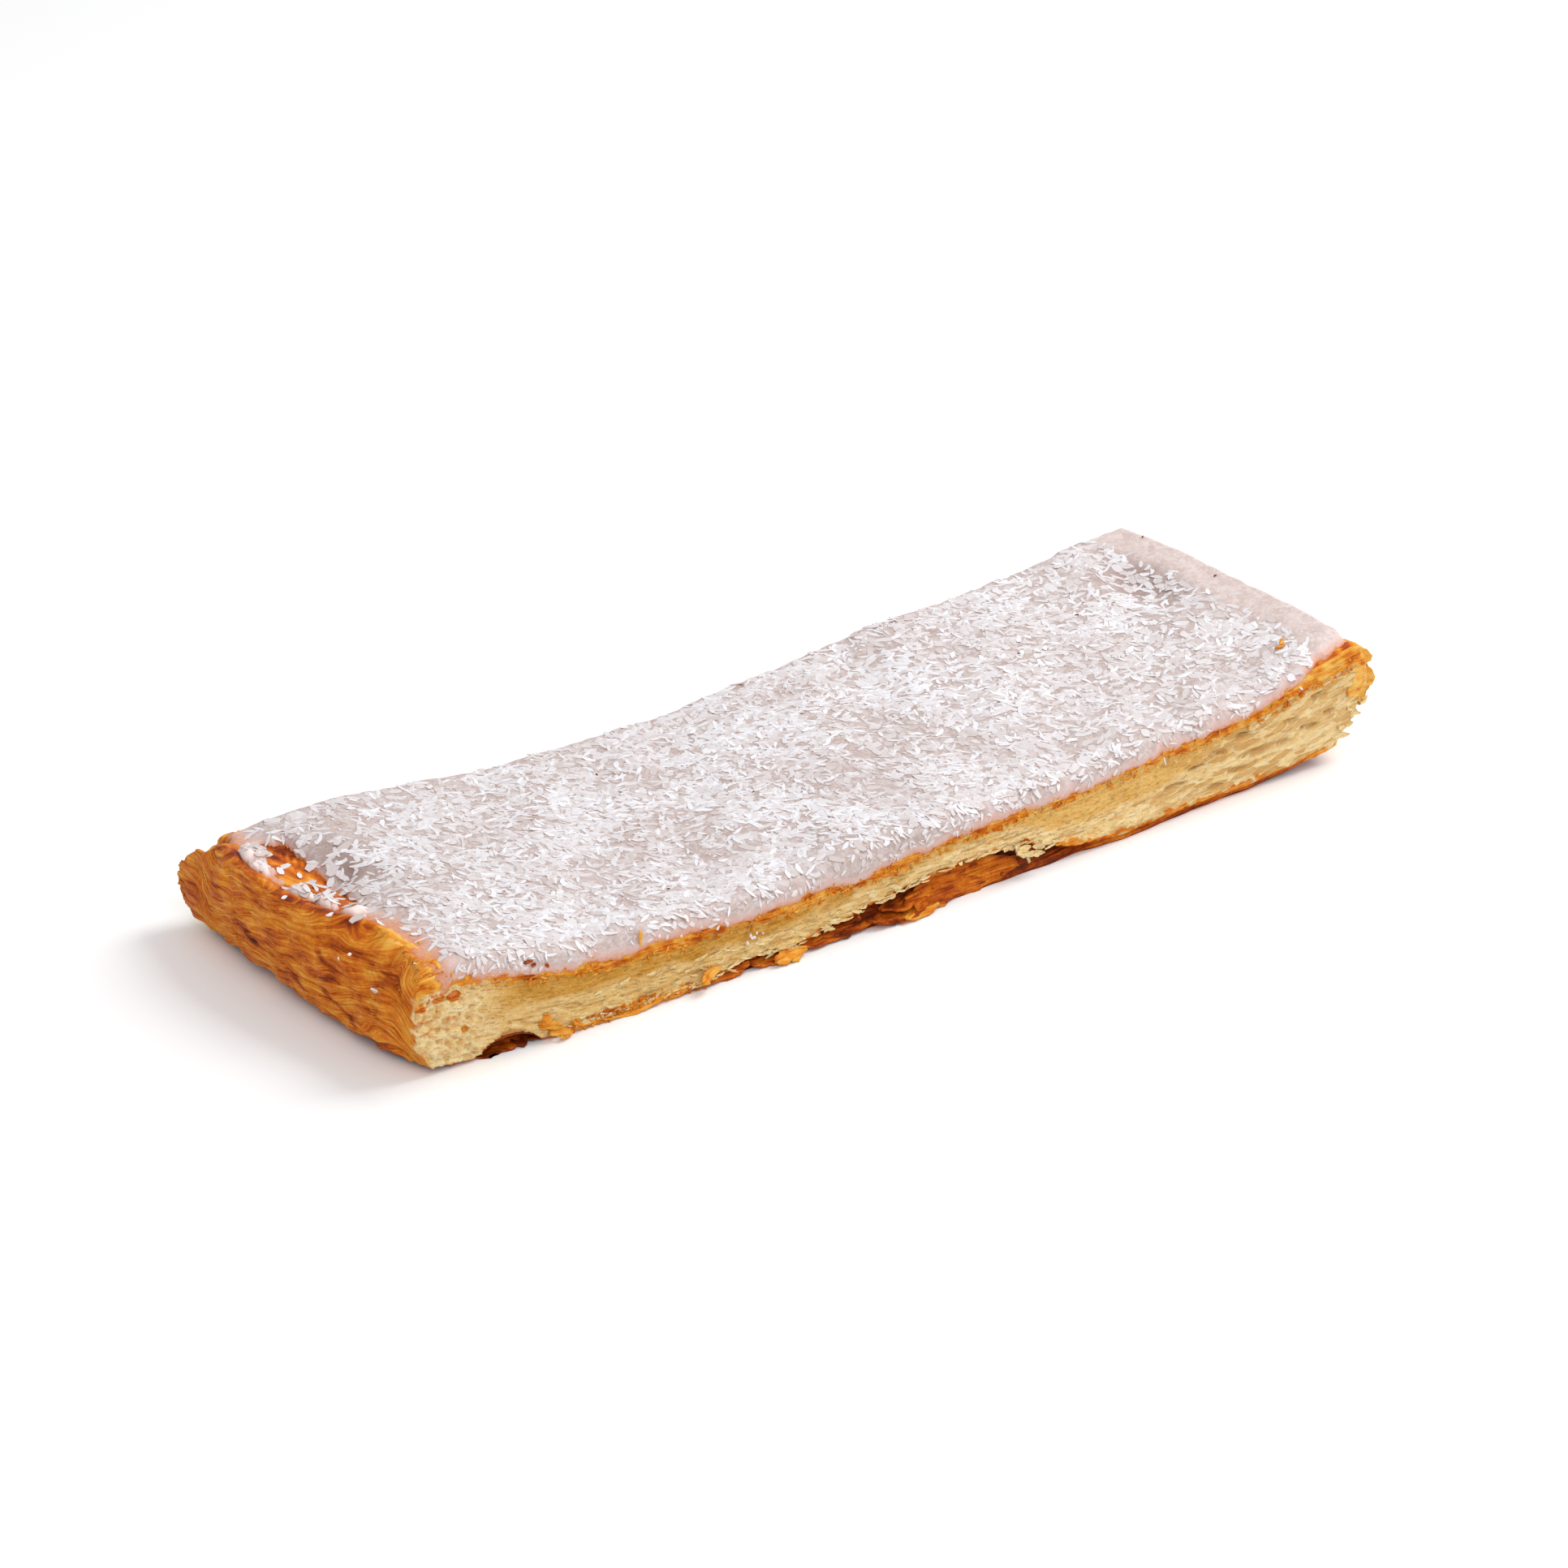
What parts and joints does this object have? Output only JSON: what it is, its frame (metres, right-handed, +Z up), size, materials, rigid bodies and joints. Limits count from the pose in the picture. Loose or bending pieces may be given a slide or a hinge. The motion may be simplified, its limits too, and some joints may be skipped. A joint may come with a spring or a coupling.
{
  "type": "danish pastry",
  "caption": "Long bar of baked laminated dough with a folded browned end, thin sugar icing and grated coconut on top, lying flat.",
  "frame": {"origin": "centre of the bounding box, on the surface that the pastry lies on", "axes": "+X along the bar from the folded browned end to the raised far end, +Y from the cut face that shows in the picture towards the hidden long side, +Z up"},
  "size_m": [0.2089, 0.0762, 0.0245],
  "materials": {
    "dough": "baked laminated dough: matt pale crumb on the cut faces, satin golden-brown crust on the ends and the underside",
    "icing": "set sugar icing, satin and slightly translucent, strewn with matt white coconut shreds"
  },
  "bodies": {
    "root": {"pastry": "dough", "icing": "icing"}
  },
  "joints": []
}
